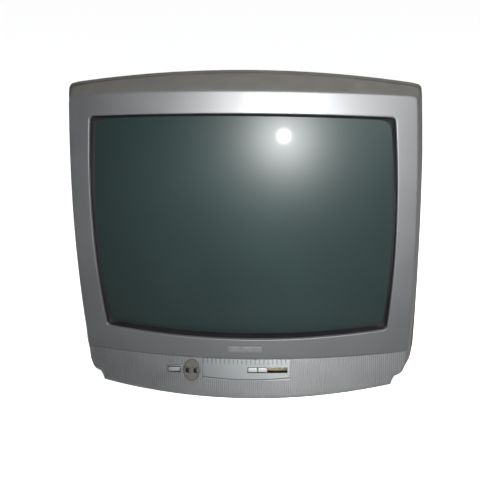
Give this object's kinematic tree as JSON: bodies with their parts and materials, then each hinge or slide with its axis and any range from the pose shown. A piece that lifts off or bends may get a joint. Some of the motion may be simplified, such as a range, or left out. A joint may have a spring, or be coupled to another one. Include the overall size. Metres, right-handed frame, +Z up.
{
  "type": "television set with cathode ray tube",
  "caption": "Free-standing box television: bowed glass tube in a silver frame, ribbed chin with button and keys, tapered rear cover with sockets.",
  "frame": {"origin": "under the middle of the cabinet's outer box, on the surface that the rubber feet rest on", "axes": "+X to the right seen from the front, -Y out of the screen, +Z up"},
  "size_m": [0.503, 0.4852, 0.462],
  "materials": {
    "silver_paint": "satin silver paint on moulded plastic",
    "cover_plastic": "fine-grained warm grey moulded plastic",
    "bright_plastic": "smooth silver moulded plastic",
    "black_plastic": "plain",
    "dark_lens": "polished",
    "foot_rubber": "plain",
    "label": "blank printed film",
    "screen_glass": "polished tinted glass over grey phosphor",
    "funnel_glass": "glass under graphite paint",
    "neck_glass": "clear",
    "steel": "plain",
    "zinc_steel": "zinc plated",
    "copper_wire": "enamelled copper",
    "ferrite": "sintered",
    "pale_plastic": "plain",
    "red_silicone": "plain",
    "tinned_braid": "braided",
    "board": "resin laminate",
    "green_board": "resin laminate",
    "aluminium": "satin",
    "plated_brass": "plated",
    "paper_cone": "pressed paper",
    "cap_film": "shrunk film",
    "plunger_plastic": "plain"
  },
  "bodies": {
    "cabinet": {"front_bezel": "silver_paint", "name_plate": "bright_plastic", "ir_escutcheon": "silver_paint", "ir_lenses": "dark_lens", "front_sensors": "black_plastic", "mains_switch": "black_plastic", "front_board": "board", "key_switches": "black_plastic", "key_board": "board", "rear_cover": "cover_plastic", "cord_gland": "black_plastic", "rating_label": "label", "cover_screws": "steel", "feet": "foot_rubber", "tube_panel": "screen_glass", "tube_funnel": "funnel_glass", "tube_neck": "neck_glass", "tube_base": "black_plastic", "electron_gun": "steel", "shadow_mask": "steel", "mask_frame": "steel", "implosion_band": "steel", "tube_screws": "zinc_steel", "degauss_coil": "black_plastic", "ground_braid": "tinned_braid", "anode_cap": "red_silicone", "anode_lead": "red_silicone", "yoke_liner": "pale_plastic", "yoke_core": "ferrite", "yoke_coils": "copper_wire", "yoke_clamp": "zinc_steel", "ring_holder": "pale_plastic", "tube_socket": "pale_plastic", "neck_board": "green_board", "main_board": "board", "flyback": "black_plastic", "power_transformer": "copper_wire", "capacitors": "cap_film", "heatsinks": "aluminium", "tuner": "steel", "scart_socket": "black_plastic", "av_sockets": "plated_brass", "speaker_left": "steel", "speaker_right": "steel"},
    "power_button": {"power_button": "bright_plastic"},
    "key_left": {"key_left": "bright_plastic"},
    "key_right": {"key_right": "bright_plastic"},
    "bare_plunger_3": {"bare_plunger_3": "plunger_plastic"},
    "bare_plunger_4": {"bare_plunger_4": "plunger_plastic"},
    "focus_knob": {"focus_knob": "pale_plastic"},
    "screen_knob": {"screen_knob": "pale_plastic"},
    "purity_ring_1": {"purity_ring_1": "ferrite"},
    "purity_ring_2": {"purity_ring_2": "ferrite"},
    "four_pole_ring_1": {"four_pole_ring_1": "ferrite"},
    "four_pole_ring_2": {"four_pole_ring_2": "ferrite"},
    "six_pole_ring_1": {"six_pole_ring_1": "ferrite"},
    "six_pole_ring_2": {"six_pole_ring_2": "ferrite"},
    "lock_ring": {"lock_ring": "pale_plastic"},
    "speaker_cone_left": {"speaker_cone_left": "paper_cone"},
    "speaker_cone_right": {"speaker_cone_right": "paper_cone"}
  },
  "joints": [
    {"name": "power_button_press", "type": "slide", "parent": "cabinet", "child": "power_button", "axis": [0, 1, 0], "range_m": [0, 0.004], "stiffness_N_per_m": 300, "springref_m": -0.002},
    {"name": "key_left_press", "type": "slide", "parent": "cabinet", "child": "key_left", "axis": [0, 1, 0], "range_m": [0, 0.0006], "stiffness_N_per_m": 1500},
    {"name": "key_right_press", "type": "slide", "parent": "cabinet", "child": "key_right", "axis": [0, 1, 0], "range_m": [0, 0.0006], "stiffness_N_per_m": 1500},
    {"name": "bare_plunger_3_press", "type": "slide", "parent": "cabinet", "child": "bare_plunger_3", "axis": [0, 1, 0], "range_m": [0, 0.0003], "stiffness_N_per_m": 1500},
    {"name": "bare_plunger_4_press", "type": "slide", "parent": "cabinet", "child": "bare_plunger_4", "axis": [0, 1, 0], "range_m": [0, 0.0003], "stiffness_N_per_m": 1500},
    {"name": "focus_knob_turn", "type": "hinge", "parent": "cabinet", "child": "focus_knob", "pos_m": [0.105, 0.11503, 0.07], "axis": [0, 1, 0], "range_deg": [-135, 135]},
    {"name": "screen_knob_turn", "type": "hinge", "parent": "cabinet", "child": "screen_knob", "pos_m": [0.105, 0.11503, 0.048], "axis": [0, 1, 0], "range_deg": [-135, 135]},
    {"name": "purity_ring_1_turn", "type": "hinge", "parent": "cabinet", "child": "purity_ring_1", "pos_m": [0, 0.11623, 0.25], "axis": [0, 1, 0], "range_deg": [-90, 90]},
    {"name": "purity_ring_2_turn", "type": "hinge", "parent": "cabinet", "child": "purity_ring_2", "pos_m": [0, 0.11863, 0.25], "axis": [0, 1, 0], "range_deg": [-90, 90]},
    {"name": "four_pole_ring_1_turn", "type": "hinge", "parent": "cabinet", "child": "four_pole_ring_1", "pos_m": [0, 0.12103, 0.25], "axis": [0, 1, 0], "range_deg": [-90, 90]},
    {"name": "four_pole_ring_2_turn", "type": "hinge", "parent": "cabinet", "child": "four_pole_ring_2", "pos_m": [0, 0.12343, 0.25], "axis": [0, 1, 0], "range_deg": [-90, 90]},
    {"name": "six_pole_ring_1_turn", "type": "hinge", "parent": "cabinet", "child": "six_pole_ring_1", "pos_m": [0, 0.12583, 0.25], "axis": [0, 1, 0], "range_deg": [-90, 90]},
    {"name": "six_pole_ring_2_turn", "type": "hinge", "parent": "cabinet", "child": "six_pole_ring_2", "pos_m": [0, 0.12823, 0.25], "axis": [0, 1, 0], "range_deg": [-90, 90]},
    {"name": "lock_ring_turn", "type": "hinge", "parent": "cabinet", "child": "lock_ring", "pos_m": [0, 0.13313, 0.25], "axis": [0, 1, 0], "range_deg": [0, 60]},
    {"name": "speaker_cone_left_stroke", "type": "slide", "parent": "cabinet", "child": "speaker_cone_left", "axis": [0, -1, 0], "range_m": [-0.001, 0.001], "stiffness_N_per_m": 1200},
    {"name": "speaker_cone_right_stroke", "type": "slide", "parent": "cabinet", "child": "speaker_cone_right", "axis": [0, -1, 0], "range_m": [-0.001, 0.001], "stiffness_N_per_m": 1200}
  ]
}
